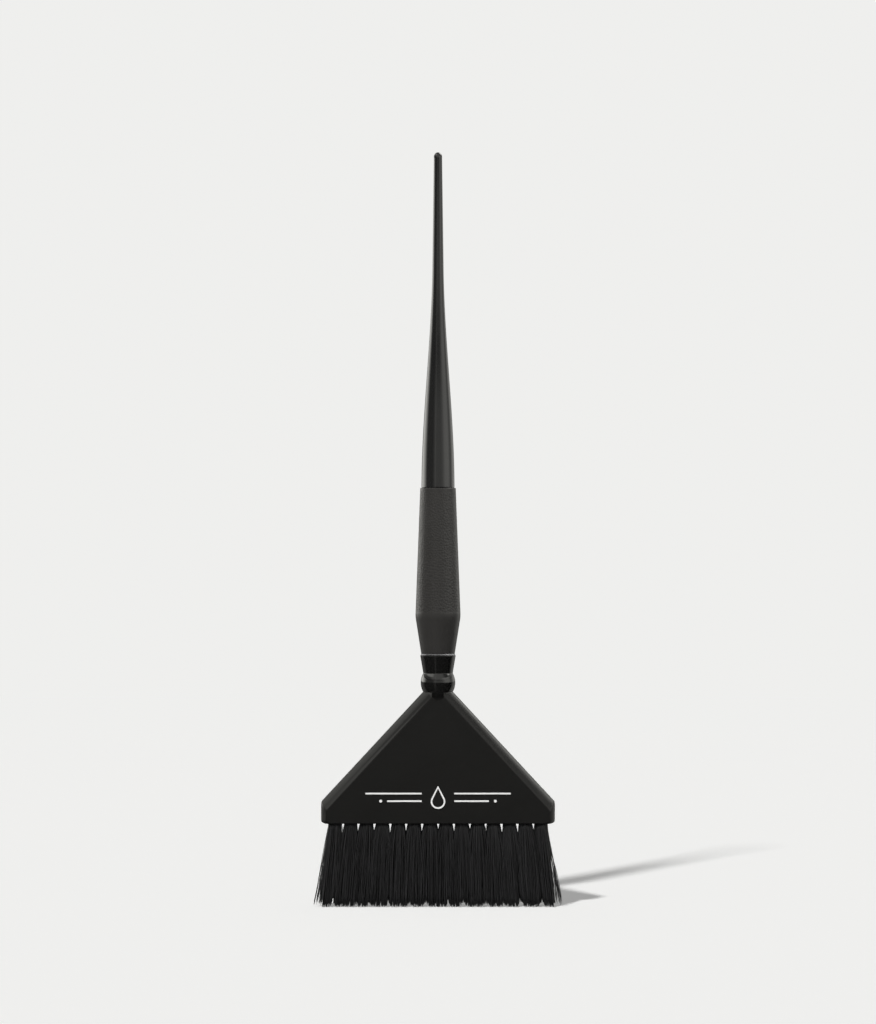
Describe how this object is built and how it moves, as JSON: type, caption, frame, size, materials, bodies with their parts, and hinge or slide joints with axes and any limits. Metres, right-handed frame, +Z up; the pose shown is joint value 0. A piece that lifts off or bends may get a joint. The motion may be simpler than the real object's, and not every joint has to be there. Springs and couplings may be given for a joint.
{
  "type": "tint brush",
  "caption": "Wide flat hair-colour brush with a rat-tail handle, a textured rubber grip, a triangular head and a dense flexible bristle skirt.",
  "frame": {"origin": "centre of the bristle tips, on the plane the brush stands on", "axes": "+Z up along the handle to the tail, X across the head, -Y out of the printed front face"},
  "size_m": [0.082, 0.0156, 0.26],
  "materials": {
    "tail_gloss": "glossy black moulding",
    "grip_rubber": "matte black rubber with a fine grain",
    "accent_metal": "satin silver",
    "neck_gloss": "polished black moulding",
    "head_satin": "satin black moulding",
    "print_ink": "matte white pad print",
    "staple_wire": "drawn flat wire",
    "bristle": "black nylon filament"
  },
  "bodies": {
    "handle": {"tail_handle": "tail_gloss", "grip_sleeve": "grip_rubber", "accent_ring": "accent_metal", "neck_collar": "neck_gloss", "head_plate": "head_satin", "printed_mark": "print_ink", "anchor_staples": "staple_wire"},
    "bristles": {"tuft_front_01": "bristle", "tuft_front_02": "bristle", "tuft_front_03": "bristle", "tuft_front_04": "bristle", "tuft_front_05": "bristle", "tuft_front_06": "bristle", "tuft_front_07": "bristle", "tuft_front_08": "bristle", "tuft_front_09": "bristle", "tuft_front_10": "bristle", "tuft_front_11": "bristle", "tuft_front_12": "bristle", "tuft_front_13": "bristle", "tuft_front_14": "bristle", "tuft_back_01": "bristle", "tuft_back_02": "bristle", "tuft_back_03": "bristle", "tuft_back_04": "bristle", "tuft_back_05": "bristle", "tuft_back_06": "bristle", "tuft_back_07": "bristle", "tuft_back_08": "bristle", "tuft_back_09": "bristle", "tuft_back_10": "bristle", "tuft_back_11": "bristle", "tuft_back_12": "bristle", "tuft_back_13": "bristle", "tuft_back_14": "bristle"}
  },
  "joints": [
    {"name": "bristle_flex", "type": "hinge", "parent": "handle", "child": "bristles", "pos_m": [0, 0, 0.0245], "axis": [1, 0, 0], "range_deg": [-40, 40], "stiffness_Nm_per_rad": 0.15, "deforming": ["tuft_front_01", "tuft_front_02", "tuft_front_03", "tuft_front_04", "tuft_front_05", "tuft_front_06", "tuft_front_07", "tuft_front_08", "tuft_front_09", "tuft_front_10", "tuft_front_11", "tuft_front_12", "tuft_front_13", "tuft_front_14", "tuft_back_01", "tuft_back_02", "tuft_back_03", "tuft_back_04", "tuft_back_05", "tuft_back_06", "tuft_back_07", "tuft_back_08", "tuft_back_09", "tuft_back_10", "tuft_back_11", "tuft_back_12", "tuft_back_13", "tuft_back_14"]}
  ]
}
